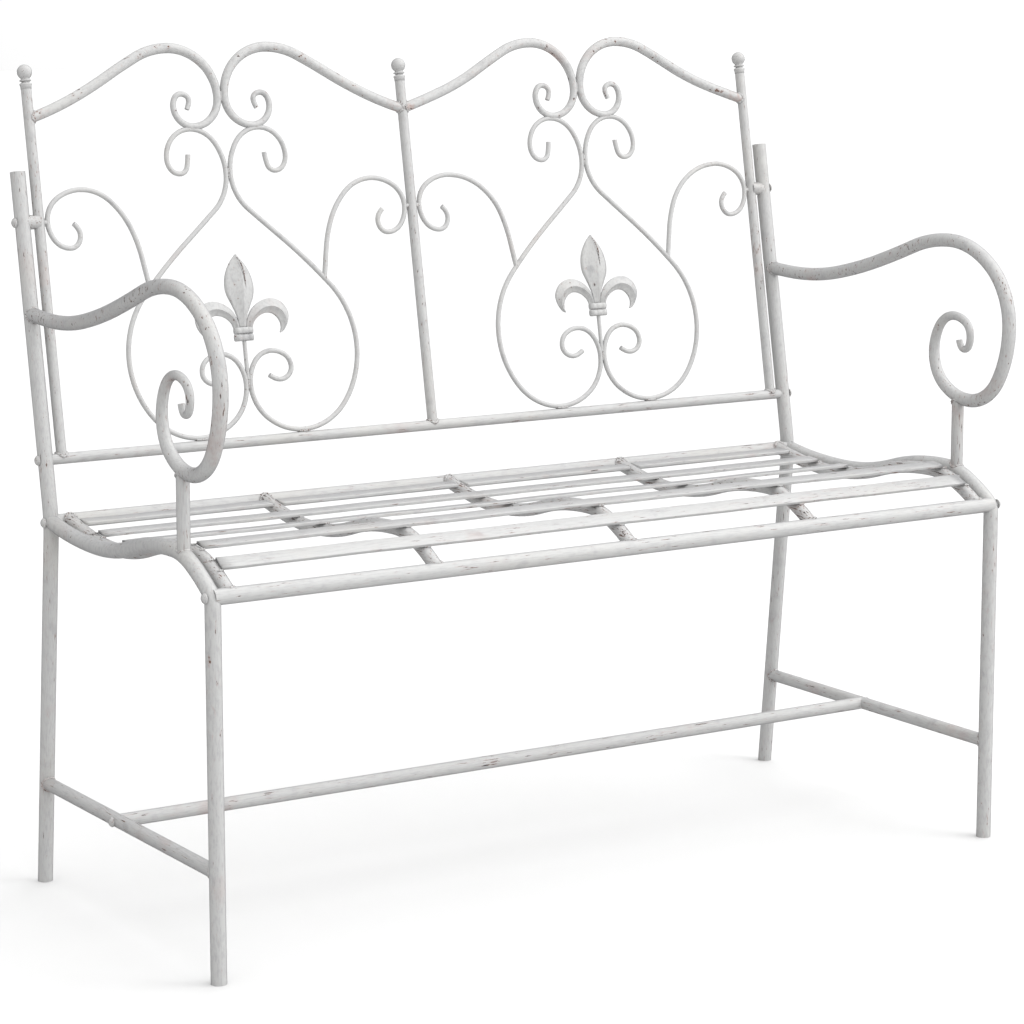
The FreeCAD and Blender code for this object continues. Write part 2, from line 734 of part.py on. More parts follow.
BAND = 17               # height of the collar's two bands
BAND_HALF = 13
BAND_GAP = 0.5
LEAF_ROOT = 6
STEM_FOOT = 76
collars = []
for bay, (centre_x, _) in BAYS.items():
    frame = back_plane(centre_x)
    base = frame.multVec(Vector(0, STEM_FOOT, 0))
    tip = frame.multVec(Vector(0, FLEUR, 0))
    stem = straight_rod(bay + "_stem_bar", base, tip, "Sizes.stem_dia")
    hearts = [doc.getObject(f"{bay}_{hand}_heart_bar") for hand in ("outer", "inner")]
    node(cut(bay + "_stem_cut", stem, *hearts), f"{bay}_stem")

    top = FLEUR + BAND
    leaf = arcs((-LEAF_ROOT, top), (-9, top + 22), (-20, top + 50), (-13, top + 72),
                (0, top + 89), (13, top + 72), (20, top + 50), (9, top + 22), (LEAF_ROOT, top))
    leaf.append(Part.LineSegment(Vector(LEAF_ROOT, top, 0), Vector(-LEAF_ROOT, top, 0)))
    node(flat_plate(bay + "_leaf", frame, leaf, "Sizes.fleur_thick"), f"{bay}_fleur_centre_leaf")

    hooks = []
    for hand, sign in SIDES.items():
        hook = arcs((6.5, top), (24, top + 30), (49, top + 31), (65, top + 14), (50, top - 9),
                    (52, top + 4), (43, top + 12), (26, top + 14), (14, top))
        hook.append(Part.LineSegment(Vector(14, top, 0), Vector(6.5, top, 0)))
        if sign < 0:
            mirror = FreeCAD.Matrix(-1, 0, 0, 0, 0, 1, 0, 0, 0, 0, 1, 0)
            for curve in hook:
                curve.transform(mirror)
        hooks.append(flat_plate(f"{bay}_{hand}_hook", frame, hook, "Sizes.fleur_thick"))
    node(group(bay + "_hooks", hooks), f"{bay}_fleur_side_leaves")

    for band in (0, 1):
        low = FLEUR + band * (BAND + BAND_GAP) / 2
        high = low + BAND / 2 - BAND_GAP
        collars.append(box(f"{bay}_band_{band}", (-BAND_HALF, low, -THICK),
                           (BAND_HALF, high, THICK), frame))
node(group("collar_group", collars), "fleur_collars")

# ---------------------------------------------------------------- fasteners
HEAD_R = size("bolt_head_dia") / 2
HEAD_RISE = size("bolt_head_rise")
HEAD_EDGE = 1
DOME_RADIUS = (HEAD_R ** 2 + (HEAD_RISE - HEAD_EDGE) ** 2) / (2 * (HEAD_RISE - HEAD_EDGE))


def bolt(label, side, depth, height, seat, length):
    """Domed bolt from outside the frame inwards: seat is the face its head sits on."""
    body = doc.addObject("PartDesign::Body", label)
    outward = Vector(SIDES[side], 0, 0)
    turn = Rotation(Vector(0, 1, 0), outward)
    body.Placement = Placement(at(SIDES[side] * seat, depth, height), turn)
    profile = sketch_on(body, "XY_Plane", label + "_profile")
    shank = size("bolt_dia") / 2
    corners = [Vector(*p, 0) for p in ((0, -length), (shank, -length), (shank, 0), (HEAD_R, 0),
                                       (HEAD_R, HEAD_EDGE))]
    for first, second in zip(corners, corners[1:]):
        profile.addGeometry(Part.LineSegment(first, second))
    half_angle = math.asin(HEAD_R / DOME_RADIUS) / 2
    shoulder = Vector(DOME_RADIUS * math.sin(half_angle),
                      HEAD_RISE - DOME_RADIUS * (1 - math.cos(half_angle)), 0)
    profile.addGeometry(Part.Arc(corners[-1], shoulder, Vector(0, HEAD_RISE, 0)))
    profile.addGeometry(Part.LineSegment(Vector(0, HEAD_RISE, 0), corners[0]))
    doc.recompute()
    turned = body.newObject("PartDesign::Revolution", label + "_turned")
    turned.Profile = (profile, [""])
    turned.ReferenceAxis = (profile, ["V_Axis"])
    turned.Angle = 360
    body.Tip = turned
    return body


TUBE_FACE = HALF + TUBE / 2
STRETCHER_FACE = HALF + size("stretcher_dia") / 2
RAIL_START = HALF - TUBE / 2
for name, (depth, height) in BOLT_POINTS.items():
    seat = STRETCHER_FACE if name == "stretcher" else TUBE_FACE
    if name == "upper_back":
        tip = STILE_X - 2
    elif name == "stretcher":
        tip = HALF - size("stretcher_dia") / 2 - size("bolt_grip")
    else:
        tip = RAIL_START - size("bolt_grip")
    pair = [bolt(f"{side}_{name}_bolt", side, depth, height, seat, seat - tip) for side in SIDES]
    node(group(name + "_pair", pair), name + "_bolts")

spacers = []
for side, sign in SIDES.items():
    depth, height = BOLT_POINTS["upper_back"]
    inner = at(sign * STILE_X, depth, height)
    outer = at(sign * HALF, depth, height)
    disc = straight_rod(f"{side}_spacer_bar", inner, outer, "Sizes.spacer_dia")
    hole = straight_rod(f"{side}_spacer_hole", inner, outer,
                        "Sizes.bolt_dia + Sizes.hole_clearance")
    spacers.append(cut(f"{side}_spacer", disc, hole, uprights[side], stiles[side]))
node(group("spacer_group", spacers), "back_spacers")


def end_plugs(label, points, start, diameter):
    """Threaded plug in each end of a tube, where a bolt takes hold."""
    plugs = []
    for name in points:
        depth, height = BOLT_POINTS[name]
        for side, sign in SIDES.items():
            outer = at(sign * (start - 1), depth, height)
            inner = at(sign * (start - 1 - size("plug_length")), depth, height)
            bar = straight_rod(f"{side}_{name}_plug_bar", inner, outer, diameter)
            thread = straight_rod(f"{side}_{name}_thread", inner, outer, "Sizes.bolt_dia")
            plugs.append(cut(f"{side}_{name}_plug", bar, thread))
    node(group(label + "_group", plugs), label)


end_plugs("seat_rail_plugs", ("rear_seat", "front_seat"), RAIL_START, BORE)
end_plugs("bottom_rail_plugs", ("lower_back",), RAIL_START,
          "Sizes.bottom_rail_dia - 2 * Sizes.tube_wall")
end_plugs("stretcher_plugs", ("stretcher",), HALF - size("stretcher_dia") / 2,
          "Sizes.stretcher_dia - 2 * Sizes.tube_wall")

# plastic plugs that close the open tube ends at the feet and at the tops of the uprights
feet, tops = [], []
leg_axis = Vector(0, REAR_X - size("rear_foot_depth"), REAR_Z).normalize()
for side, sign in SIDES.items():
    foot = at(sign * HALF, 0, 0)
    inside = foot + Vector(0, 0, size("cap_depth"))
    feet.append(straight_rod(f"{side}_front_foot", foot, inside, BORE))
    heel = at(sign * HALF, size("rear_foot_depth"), 0)
    below = heel - leg_axis * TUBE
    inside = heel + leg_axis * size("cap_depth")
    raw = straight_rod(f"{side}_rear_foot_bar", below, inside, BORE)
    feet.append(cut(f"{side}_rear_foot", raw, floor))
    peak = at(sign * HALF, upright_depth(size("upright_top")), size("upright_top"))
    tops.append(straight_rod(f"{side}_top_cap", peak - BACK_AXIS * size("cap_depth"), peak, BORE))
node(group("foot_group", feet), "foot_plugs")
node(group("cap_group", tops), "upright_end_caps")

# ---------------------------------------------------------------- checks and export
doc.recompute()
for item in doc.Objects:
    if "Invalid" in item.State or "Error" in item.State:
        raise RuntimeError(f"{item.Label} failed: {item.State}")
for piece in NODES:
    if piece.Shape.isNull() or not piece.Shape.isValid():
        raise RuntimeError(f"{piece.Label} has no valid shape")
    piece.Shape.exportStep(f"parts/{piece.Label}.step")
    print(piece.Label, len(piece.Shape.Solids), round(piece.Shape.Volume / 1000, 2))
print(len(NODES), "nodes")
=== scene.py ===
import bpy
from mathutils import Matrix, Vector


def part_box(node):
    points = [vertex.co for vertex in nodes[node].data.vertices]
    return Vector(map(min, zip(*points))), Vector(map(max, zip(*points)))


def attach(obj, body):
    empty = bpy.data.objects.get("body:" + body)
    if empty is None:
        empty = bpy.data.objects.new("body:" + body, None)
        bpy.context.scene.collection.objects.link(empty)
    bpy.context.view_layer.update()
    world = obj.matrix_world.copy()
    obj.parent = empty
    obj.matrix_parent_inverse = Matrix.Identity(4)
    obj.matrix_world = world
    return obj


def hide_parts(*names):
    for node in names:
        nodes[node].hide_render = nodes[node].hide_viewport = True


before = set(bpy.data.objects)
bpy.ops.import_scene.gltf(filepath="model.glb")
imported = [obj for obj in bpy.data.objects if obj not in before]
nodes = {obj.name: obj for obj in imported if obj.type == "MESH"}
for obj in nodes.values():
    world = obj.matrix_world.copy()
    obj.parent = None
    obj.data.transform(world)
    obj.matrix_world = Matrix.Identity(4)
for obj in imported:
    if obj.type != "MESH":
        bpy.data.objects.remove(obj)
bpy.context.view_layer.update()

import math
import random

import bmesh
import bpy
from mathutils import Matrix, Vector

scene = bpy.context.scene

# ---------------------------------------------------------------- the studio
# The bench stands on a pale floor that runs on into a pale wall of light.  One broad lamp
# hangs high at the front right, where the light of the room is brightest too, and a weak one
# low on the left.
CAMERA_PLACE = Vector((-1.9975, -3.1413, 1.0807))
CAMERA_YAW = math.radians(32.297)
CAMERA_DIP = math.radians(8.926)
CAMERA_ROLL = math.radians(-0.066)
LENS = 108.78
LENS_SHIFT = -0.0498
BENCH_MIDDLE = (0.0, 0.0, 0.5)
FLOOR_HALF = 30.0
FLOOR_GREY = (0.50, 0.50, 0.50, 1.0)

camera = bpy.data.objects.new("camera", bpy.data.cameras.new("camera"))
camera.data.sensor_width = 36.0
camera.data.lens = LENS
camera.data.shift_y = LENS_SHIFT
scene.collection.objects.link(camera)
ahead = Vector((math.sin(CAMERA_YAW) * math.cos(CAMERA_DIP),
                math.cos(CAMERA_YAW) * math.cos(CAMERA_DIP),
                -math.sin(CAMERA_DIP)))
level = Vector((math.cos(CAMERA_YAW), -math.sin(CAMERA_YAW), 0.0))
above = level.cross(ahead)
right = level * math.cos(CAMERA_ROLL) + above * math.sin(CAMERA_ROLL)
up = above * math.cos(CAMERA_ROLL) - level * math.sin(CAMERA_ROLL)
camera.matrix_world = (Matrix.Translation(CAMERA_PLACE)
                       @ Matrix((right, up, -ahead)).transposed().to_4x4())
scene.camera = camera
scene.view_settings.view_transform = "Standard"

world = bpy.data.worlds.new("studio")
world.use_nodes = True
sky = world.node_tree
sky_side = sky.nodes.new("ShaderNodeVectorMath")
sky_side.operation = "DOT_PRODUCT"
sky_side.inputs[1].default_value = (0.507, -0.32, 0.80)
sky_level = sky.nodes.new("ShaderNodeMapRange")
sky_level.inputs["From Min"].default_value = -0.5
sky_level.inputs["From Max"].default_value = 1.0
sky_level.inputs["To Min"].default_value = 0.32
sky_level.inputs["To Max"].default_value = 2.95
sky.links.new(sky.nodes.new("ShaderNodeTexCoord").outputs["Generated"], sky_side.inputs[0])
sky.links.new(sky_side.outputs["Value"], sky_level.inputs["Value"])
sky.links.new(sky_level.outputs["Result"], sky.nodes["Background"].inputs["Strength"])
sky.nodes["Background"].inputs["Color"].default_value = (1.0, 1.0, 1.0, 1.0)
scene.world = world


def lamp(name, place, aim, width, watts):
    """A square soft lamp at place, turned to face aim."""
    light = bpy.data.objects.new(name, bpy.data.lights.new(name, "AREA"))
    light.data.size = width
    light.data.energy = watts
    light.location = place
    light.rotation_euler = (Vector(aim) - Vector(place)).to_track_quat("-Z", "Y").to_euler()
    scene.collection.objects.link(light)


lamp("broad_lamp", (2.3, -1.9, 2.6), BENCH_MIDDLE, 1.6, 40.0)
lamp("left_lamp", (-3.2, -1.6, 1.2), BENCH_MIDDLE, 1.6, 4.0)

floor = bpy.data.objects.new("floor", bpy.data.meshes.new("floor"))
floor_mesh = bmesh.new()
bmesh.ops.create_grid(floor_mesh, x_segments=2, y_segments=2, size=FLOOR_HALF)
floor_mesh.to_mesh(floor.data)
floor_mesh.free()
scene.collection.objects.link(floor)
floor_paint = bpy.data.materials.new("pale_floor")
floor_paint.use_nodes = True
floor_shader = floor_paint.node_tree.nodes["Principled BSDF"]
floor_shader.inputs["Base Color"].default_value = FLOOR_GREY
floor_shader.inputs["Roughness"].default_value = 0.9
floor_shader.inputs["Specular IOR Level"].default_value = 0.1
floor.data.materials.append(floor_paint)

# ---------------------------------------------------------------- legs, uprights and seat rails
# Round steel tube, bent and coped, then brushed over with antique white paint.  The paint
# shows fine brush marks along each tube, chips down to dark metal, and a pinkish rust bloom.


def make_group(name, inputs, outputs):
    """Empty shader node group with named sockets; returns its tree and its two ends."""
    tree = bpy.data.node_groups.new(name, "ShaderNodeTree")
    for label, kind, value in inputs:
        socket = tree.interface.new_socket(label, in_out="INPUT", socket_type=kind)
        socket.default_value = value
    for label, kind in outputs:
        tree.interface.new_socket(label, in_out="OUTPUT", socket_type=kind)
    return tree, tree.nodes.new("NodeGroupInput"), tree.nodes.new("NodeGroupOutput")


def add(tree, kind, settings=(), **sockets):
    """New node with its settings made and its sockets filled or joined."""
    made = tree.nodes.new(kind)
    for key, value in dict(settings).items():
        setattr(made, key, value)
    for key, value in sockets.items():
        number = int(key[1:]) if key[0] == "_" else key.replace("_", " ")
        socket = made.inputs[number]
        if isinstance(value, bpy.types.NodeSocket):
            tree.links.new(value, socket)
        else:
            socket.default_value = value
    return made


def maths(tree, operation, first, second=0.0, clamp=False):
    """Result of one sum on two values."""
    made = add(tree, "ShaderNodeMath", {"operation": operation, "use_clamp": clamp},
               _0=first, _1=second)
    return made.outputs[0]


def between(tree, value, low, high):
    """0 below low, 1 above high, smooth between them."""
    made = add(tree, "ShaderNodeMapRange", {"interpolation_type": "SMOOTHSTEP"},
               Value=value, From_Min=low, From_Max=high)
    return made.outputs["Result"]


def blended(tree, amount, first, second):
    """First colour at amount 0, second at amount 1."""
    made = add(tree, "ShaderNodeMix", {"data_type": "RGBA"}, _0=amount, _6=first, _7=second)
    return made.outputs[2]


def speckle(tree, place, scale, detail=2.0, roughness=0.5):
    """Cloudy noise between 0 and 1."""
    made = add(tree, "ShaderNodeTexNoise", Vector=place, Scale=scale, Detail=detail,
               Roughness=roughness)
    return made.outputs["Fac"]


ANTIQUE_WHITE = (0.35, 0.35, 0.347, 1.0)
COOL_GREY = (0.20, 0.20, 0.205, 1.0)
RUST_PINK = (0.27, 0.19, 0.17, 1.0)
CREAM = (0.37, 0.355, 0.325, 1.0)
# Dark grey of the painted shade along each outline.
EDGE_SHADE_GREY = (0.085, 0.085, 0.09, 1.0)
BARE_BROWN = (0.10, 0.055, 0.04, 1.0)
BARE_BLACK = (0.035, 0.03, 0.03, 1.0)

distress, given, result = make_group(
    "distressed_paint",
    [("Grain", "NodeSocketVector", (1.0, 1.0, 1.0)), ("Chips", "NodeSocketFloat", 0.5),
     ("Bloom", "NodeSocketFloat", 0.3), ("Soot", "NodeSocketFloat", 0.3),
     ("Extra Bloom", "NodeSocketFloat", 0.0)],
    [("Color", "NodeSocketColor"), ("Roughness", "NodeSocketFloat"),
     ("Height", "NodeSocketFloat")])
place = add(distress, "ShaderNodeTexCoord").outputs["Object"]
along = add(distress, "ShaderNodeVectorMath", {"operation": "MULTIPLY"}, _0=place,
            _1=given.outputs["Grain"]).outputs[0]
brushing = speckle(distress, along, 800.0, 3.0, 0.6)
mottle = speckle(distress, place, 55.0, 3.0)
drift = speckle(distress, place, 9.0, 2.0)
patches = between(distress, speckle(distress, place, 16.0, 2.0), 0.46, 0.62)
flakes = speckle(distress, along, 520.0, 3.0, 0.62)
more_chips = maths(distress, "MULTIPLY", given.outputs["Chips"], 0.07)
patchy = maths(distress, "MULTIPLY", patches, 0.05)
chip_floor = maths(distress, "SUBTRACT", maths(distress, "SUBTRACT", 0.74, more_chips), patchy)
chips = between(distress, maths(distress, "SUBTRACT", flakes, chip_floor), 0.0, 0.018)
halo = between(distress, maths(distress, "SUBTRACT", flakes, chip_floor), -0.09, 0.0)
bloom = between(distress, speckle(distress, place, 13.0, 4.0, 0.6), 0.56, 0.72)
bloom = maths(distress, "MULTIPLY", bloom, given.outputs["Bloom"])
normal = add(distress, "ShaderNodeSeparateXYZ",
             Vector=add(distress, "ShaderNodeNewGeometry").outputs["Normal"])
below = between(distress, maths(distress, "MULTIPLY", normal.outputs["Z"], -1.0), 0.2, 1.0)
bloom = maths(distress, "MULTIPLY", bloom, maths(distress, "ADD", 0.55, below), True)
bloom = maths(distress, "MAXIMUM", bloom, given.outputs["Extra Bloom"], True)
soot = maths(distress, "MULTIPLY", between(distress, mottle, 0.55, 0.75), given.outputs["Soot"])
streaks = maths(distress, "MULTIPLY", between(distress, brushing, 0.44, 0.68), 0.33)
yellowing = maths(distress, "MULTIPLY", between(distress, drift, 0.5, 0.75), 0.25)
colour = blended(distress, streaks, ANTIQUE_WHITE, COOL_GREY)
colour = blended(distress, yellowing, colour, CREAM)
colour = blended(distress, soot, colour, COOL_GREY)
colour = blended(distress, bloom, colour, RUST_PINK)
colour = blended(distress, maths(distress, "MULTIPLY", halo, 0.35), colour, RUST_PINK)
metal = blended(distress, between(distress, mottle, 0.4, 0.6), BARE_BLACK, BARE_BROWN)
colour = blended(distress, chips, colour, metal)
distress.links.new(colour, result.inputs["Color"])
gloss = maths(distress, "MULTIPLY_ADD", chips, 0.3)
gloss.node.inputs[2].default_value = 0.46
rough = maths(distress, "ADD", gloss, maths(distress, "MULTIPLY", brushing, 0.1), True)
distress.links.new(rough, result.inputs["Roughness"])
relief = maths(distress, "MULTIPLY", brushing, 0.35)
relief = maths(distress, "ADD", relief, maths(distress, "MULTIPLY", mottle, 0.5))
relief = maths(distress, "SUBTRACT", relief, maths(distress, "MULTIPLY", chips, 1.2))
distress.links.new(relief, result.inputs["Height"])

# The ways brush marks run: upright, from side to side, from front to back, and evenly.
UP = (1.0, 1.0, 0.08)
ACROSS = (0.08, 1.0, 1.0)
DEEP = (1.0, 0.08, 1.0)
ROUND = (1.1, 1.1, 1.1)


def painted(name, grain, chips=0.5, bloom=0.3, soot=0.3, gloss=0.35):
    """Antique white paint whose brush marks run the way grain is small, greyed towards each outline
    as painted shade.
    """
    paint = bpy.data.materials.new(name)
    paint.use_nodes = True
    tree = paint.node_tree
    shader = tree.nodes["Principled BSDF"]
    shader.inputs["Specular IOR Level"].default_value = gloss
    wear = tree.nodes.new("ShaderNodeGroup")
    wear.node_tree = distress
    for label, value in (("Grain", grain), ("Chips", chips), ("Bloom", bloom), ("Soot", soot)):
        wear.inputs[label].default_value = value
    relief = add(tree, "ShaderNodeBump", Strength=0.35, Distance=0.0006,
                 Height=wear.outputs["Height"])
    # Painted shade: the colour turns to dark grey where the surface faces away from the camera,
    # darkening each tube towards its outline.
    turned_away = add(tree, "ShaderNodeLayerWeight", Blend=0.5)
    painted_edge_shade = maths(tree, "MULTIPLY", between(tree, turned_away.outputs["Facing"], 0.35, 1.0), 0.7)
    tree.links.new(blended(tree, painted_edge_shade, wear.outputs["Color"], EDGE_SHADE_GREY), shader.inputs["Base Color"])
    tree.links.new(wear.outputs["Roughness"], shader.inputs["Roughness"])
    tree.links.new(relief.outputs["Normal"], shader.inputs["Normal"])
    return paint


def finish_node(label, material):
    """Puts one material on a node of the frame."""
    slots = nodes[label].data.materials
    slots.clear()
    slots.append(material)


upright_paint = painted("upright_paint", UP, chips=0.45, bloom=0.25)
for side in ("left", "right"):
    finish_node(f"{side}_upright", upright_paint)
    leg_paint = painted(f"{side}_leg_paint", (0.6, 0.3, 0.12), chips=0.55, bloom=0.35)
    finish_node(f"{side}_seat_rail_and_leg", leg_paint)

# ---------------------------------------------------------------- caps and plugs
# Moulded plastic plugs, pressed into the open tube ends at the feet and at the tops of the
# uprights, and threaded plugs that the bolts take hold of inside the rails.


def grained(name, colour, shade, scale, detail, gloss, depth, metallic=0.0):
    """Plain stuff with a fine grain; gloss is its least roughness and how much that varies."""
    stuff = bpy.data.materials.new(name)
    stuff.use_nodes = True
    tree = stuff.node_tree
    shader = tree.nodes["Principled BSDF"]
    shader.inputs["Metallic"].default_value = metallic
    grain = speckle(tree, add(tree, "ShaderNodeTexCoord").outputs["Object"], scale, detail)
    shaded = tuple(shade * part for part in colour[:3]) + (1.0,)
    tree.links.new(blended(tree, grain, colour, shaded), shader.inputs["Base Color"])
    least, spread = gloss
    rough = maths(tree, "MULTIPLY_ADD", grain, spread)
    rough.node.inputs[2].default_value = least
    tree.links.new(rough, shader.inputs["Roughness"])
    relief = add(tree, "ShaderNodeBump", Strength=0.2, Distance=depth, Height=grain)
    tree.links.new(relief.outputs["Normal"], shader.inputs["Normal"])
    return stuff


white_plastic = grained("white_plastic", (0.74, 0.74, 0.73, 1.0), 0.82, 700.0, 3.0,
                        (0.35, 0.25), 0.0003)
for label in ("foot_plugs", "upright_end_caps"):
    finish_node(label, white_plastic)

thread_steel = grained("thread_steel", (0.55, 0.54, 0.52, 1.0), 0.55, 900.0, 4.0,
                       (0.25, 0.3), 0.0002, metallic=1.0)
for label in ("seat_rail_plugs", "bottom_rail_plugs", "stretcher_plugs"):
    finish_node(label, thread_steel)

# ---------------------------------------------------------------- arms and their posts
# Solid round bar, thinned towards the curl inside the scroll, welded to the upright at the
# root and carried in front by a short post.  Each weld is a lumpy bead under the paint.
LEAN = math.radians(10.2)
ORIGIN_DEPTH = 0.24266
HALF = 0.542
SEAT_REAR_DEPTH = 0.417
SEAT_REAR_HEIGHT = 0.447
TUBE_R = 0.0090
ARM_R = 0.0085
POST_R = 0.0075
BACK_AXIS = Vector((0.0, math.sin(LEAN), math.cos(LEAN)))
SIDES = {"left": -1, "right": 1}
ACROSS_AXIS = Vector((1.0, 0.0, 0.0))
UP_AXIS = Vector((0.0, 0.0, 1.0))
dice = random.Random(7)


def at(x, depth, height):
    """Point of the bench; depth is counted back from the front legs' centre line."""
    return Vector((x, depth - ORIGIN_DEPTH, height))


def upright_depth(height):
    """Depth of the leaning upright's axis at a height above the floor."""
    return SEAT_REAR_DEPTH + (height - SEAT_REAR_HEIGHT) * math.tan(LEAN)


def sloped(degrees):
    """Way towards the back that climbs at degrees."""
    return Vector((0.0, math.cos(math.radians(degrees)), math.sin(math.radians(degrees))))


def skin(mesh, rings, closed=False):
    """Faces from each ring of corners to the next; closed joins the last to the first."""
    pairs = list(zip(rings, rings[1:]))
    if closed:
        pairs.append((rings[-1], rings[0]))
    for first, second in pairs:
        for j in range(len(first)):
            k = (j + 1) % len(first)
            mesh.faces.new((first[j], second[j], second[k], first[k]))


def lay_bead(mesh, points, outward, thickness, closed=True):
    """Lumpy round bead along points; outward gives the way from the joint at each point."""
    count, facets = len(points), 10
    rings = []
    for i, point in enumerate(points):
        before = points[(i - 1) % count] if closed or i else point
        after = points[(i + 1) % count] if closed or i < count - 1 else point
        run = (after - before).normalized()
        out = outward[i] - run * outward[i].dot(run)
        out.normalize()
        side = run.cross(out)
        swell = 1.0 + 0.16 * math.sin(i * math.tau / 4.0) + dice.uniform(-0.10, 0.10)
        if not closed:
            middle = (2.0 * i / (count - 1) - 1.0) * 0.97
            swell *= math.sqrt(1.0 - middle * middle)
        ring = []
        for j in range(facets):
            turn = j * math.tau / facets
            spoke = out * math.cos(turn) + side * math.sin(turn)
            ring.append(mesh.verts.new(point + spoke * thickness * swell))
        rings.append(ring)
    skin(mesh, rings, closed)
    if not closed:
        mesh.faces.new(rings[0])
        mesh.faces.new(tuple(reversed(rings[-1])))


def collar_bead(mesh, joint, rod, host, rod_radius, host_radius, thickness=0.0016, steps=44):
    """Weld ring where a rod meets the side of a host tube; joint is on the host's axis."""
    rod, host = rod.normalized(), host.normalized()
    side = (host - rod * host.dot(rod)).normalized()
    across = rod.cross(side)
    points, outward = [], []
    lift = rod - host * rod.dot(host)
    for i in range(steps):
        turn = i * math.tau / steps
        spoke = side * math.cos(turn) + across * math.sin(turn)
        radial = spoke * rod_radius
        flat = radial - host * radial.dot(host)
        half = lift.dot(flat)
        gap = half * half - lift.dot(lift) * (flat.dot(flat) - host_radius * host_radius)
        reach = (math.sqrt(max(gap, 0.0)) - half) / lift.dot(lift)
        points.append(joint + rod * reach + radial)
        outward.append(spoke + rod * 0.7)
    lay_bead(mesh, points, outward, thickness)


def short_bead(mesh, centre, along, outward, length, thickness, steps=12):
    """Short run of weld, tapered at both ends."""
    along = along.normalized()
    points = [centre + along * length * (i / (steps - 1) - 0.5) for i in range(steps)]
    lay_bead(mesh, points, [outward] * steps, thickness, closed=False)


def finished_piece(name, mesh, material):
    """Turns the mesh into a piece that rides with the bench."""
    bmesh.ops.recalc_face_normals(mesh, faces=mesh.faces)
    for face in mesh.faces:
        face.smooth = True
    data = bpy.data.meshes.new(name)
    mesh.to_mesh(data)
    mesh.free()
    data.materials.append(material)
    piece = bpy.data.objects.new(name, data)
    scene.collection.objects.link(piece)
    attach(piece, "root")
    return piece


weld_paint = painted("weld_paint", ROUND, chips=1.9, bloom=1.2, soot=0.6)
arm_paint = painted("arm_paint", (0.9, 0.5, 0.16), chips=1.0, bloom=0.75)
post_paint = painted("arm_post_paint", UP, chips=1.15, bloom=0.8, soot=0.5)
ARM_ROOT = 0.688
POST_DEPTH = 0.067
POST_FOOT = 0.4615
POST_TOP = 0.5565
SCROLL_R = 0.0086
TIGHT = 1.02
for side, sign in SIDES.items():
    finish_node(f"{side}_arm", arm_paint)
    finish_node(f"{side}_arm_post", post_paint)
    x = sign * HALF
    welds = bmesh.new()
    collar_bead(welds, at(x, upright_depth(ARM_ROOT), ARM_ROOT), -sloped(4), BACK_AXIS,
                ARM_R, TUBE_R * TIGHT)
    collar_bead(welds, at(x, POST_DEPTH, POST_FOOT), UP_AXIS, sloped(12), POST_R, TUBE_R)
    collar_bead(welds, at(x, POST_DEPTH, POST_TOP), -UP_AXIS, sloped(-16), POST_R, SCROLL_R)
    finished_piece(f"{side}_arm_welds", welds, weld_paint)

# ---------------------------------------------------------------- stretchers
# A bar joins the front and rear leg on each side, and a tube bolted between the two bars
# ties the side frames together near the ground.
finish_node("cross_stretcher", painted("cross_stretcher_paint", ACROSS, chips=0.9, bloom=0.45))
side_bar_paint = painted("side_stretcher_paint", DEEP, chips=0.75, bloom=0.6, soot=0.45)
STRETCHER_HEIGHT = 0.124
STRETCHER_R = 0.008
HEEL_DEPTH = 0.461
heel_to_seat = SEAT_REAR_DEPTH - HEEL_DEPTH
rear_leg_way = Vector((0.0, heel_to_seat, SEAT_REAR_HEIGHT)).normalized()
heel_at_bar = HEEL_DEPTH + heel_to_seat * STRETCHER_HEIGHT / SEAT_REAR_HEIGHT
for side, sign in SIDES.items():
    finish_node(f"{side}_side_stretcher", side_bar_paint)
    welds = bmesh.new()
    front_joint = at(sign * HALF, 0.0, STRETCHER_HEIGHT)
    rear_joint = at(sign * HALF, heel_at_bar, STRETCHER_HEIGHT)
    collar_bead(welds, front_joint, sloped(0), UP_AXIS, STRETCHER_R, TUBE_R)
    collar_bead(welds, rear_joint, -sloped(0), rear_leg_way, STRETCHER_R, TUBE_R)
    finished_piece(f"{side}_stretcher_welds", welds, weld_paint)

# ---------------------------------------------------------------- seat rails and bearers
# Two tubes run from frame to frame under the front and back of the seat.  Five bent bars
# between them carry the slats, welded on top of both rails.
for label in ("seat_front_rail", "seat_back_rail"):
    finish_node(label, painted(f"{label}_paint", ACROSS, chips=0.65, bloom=0.35))
bearer_paint = painted("bearer_paint", DEEP, chips=1.6, bloom=0.9, soot=0.5)
BEARERS = {
    "left_end_bearer": -0.521,
    "left_bearer": -0.262,
    "middle_bearer": 0.0,
    "right_bearer": 0.262,
    "right_end_bearer": 0.521,
}
BEARER_R = 0.008
BEARER_BEAD = 0.0017
FRONT_RAIL_HEIGHT = 0.427
BACK_RAIL_HEIGHT = 0.446
BEARER_RISE = 0.003
welds = bmesh.new()
for label, x in BEARERS.items():
    finish_node(label, bearer_paint)
    front_joint = at(x, 0.0, FRONT_RAIL_HEIGHT)
    rear_joint = at(x, upright_depth(BACK_RAIL_HEIGHT), BACK_RAIL_HEIGHT + BEARER_RISE)
    for joint, way in ((front_joint, sloped(35)), (rear_joint, -sloped(12))):
        collar_bead(welds, joint, way, ACROSS_AXIS, BEARER_R, TUBE_R, BEARER_BEAD)
finished_piece("bearer_welds", welds, weld_paint)

# ---------------------------------------------------------------- seat slats
# Flat bars laid across the bearers and welded along both edges; the rear one is set in
# between the bearers in four lengths.  Rolled edges, faintly wavy, with worn paint.
SLAT_WIDTH = 0.020
SLAT_THICK = 0.004
CORNER_R = 0.0009
SLAT_GAP = 0.006
SLAT_BEAD = 0.0011


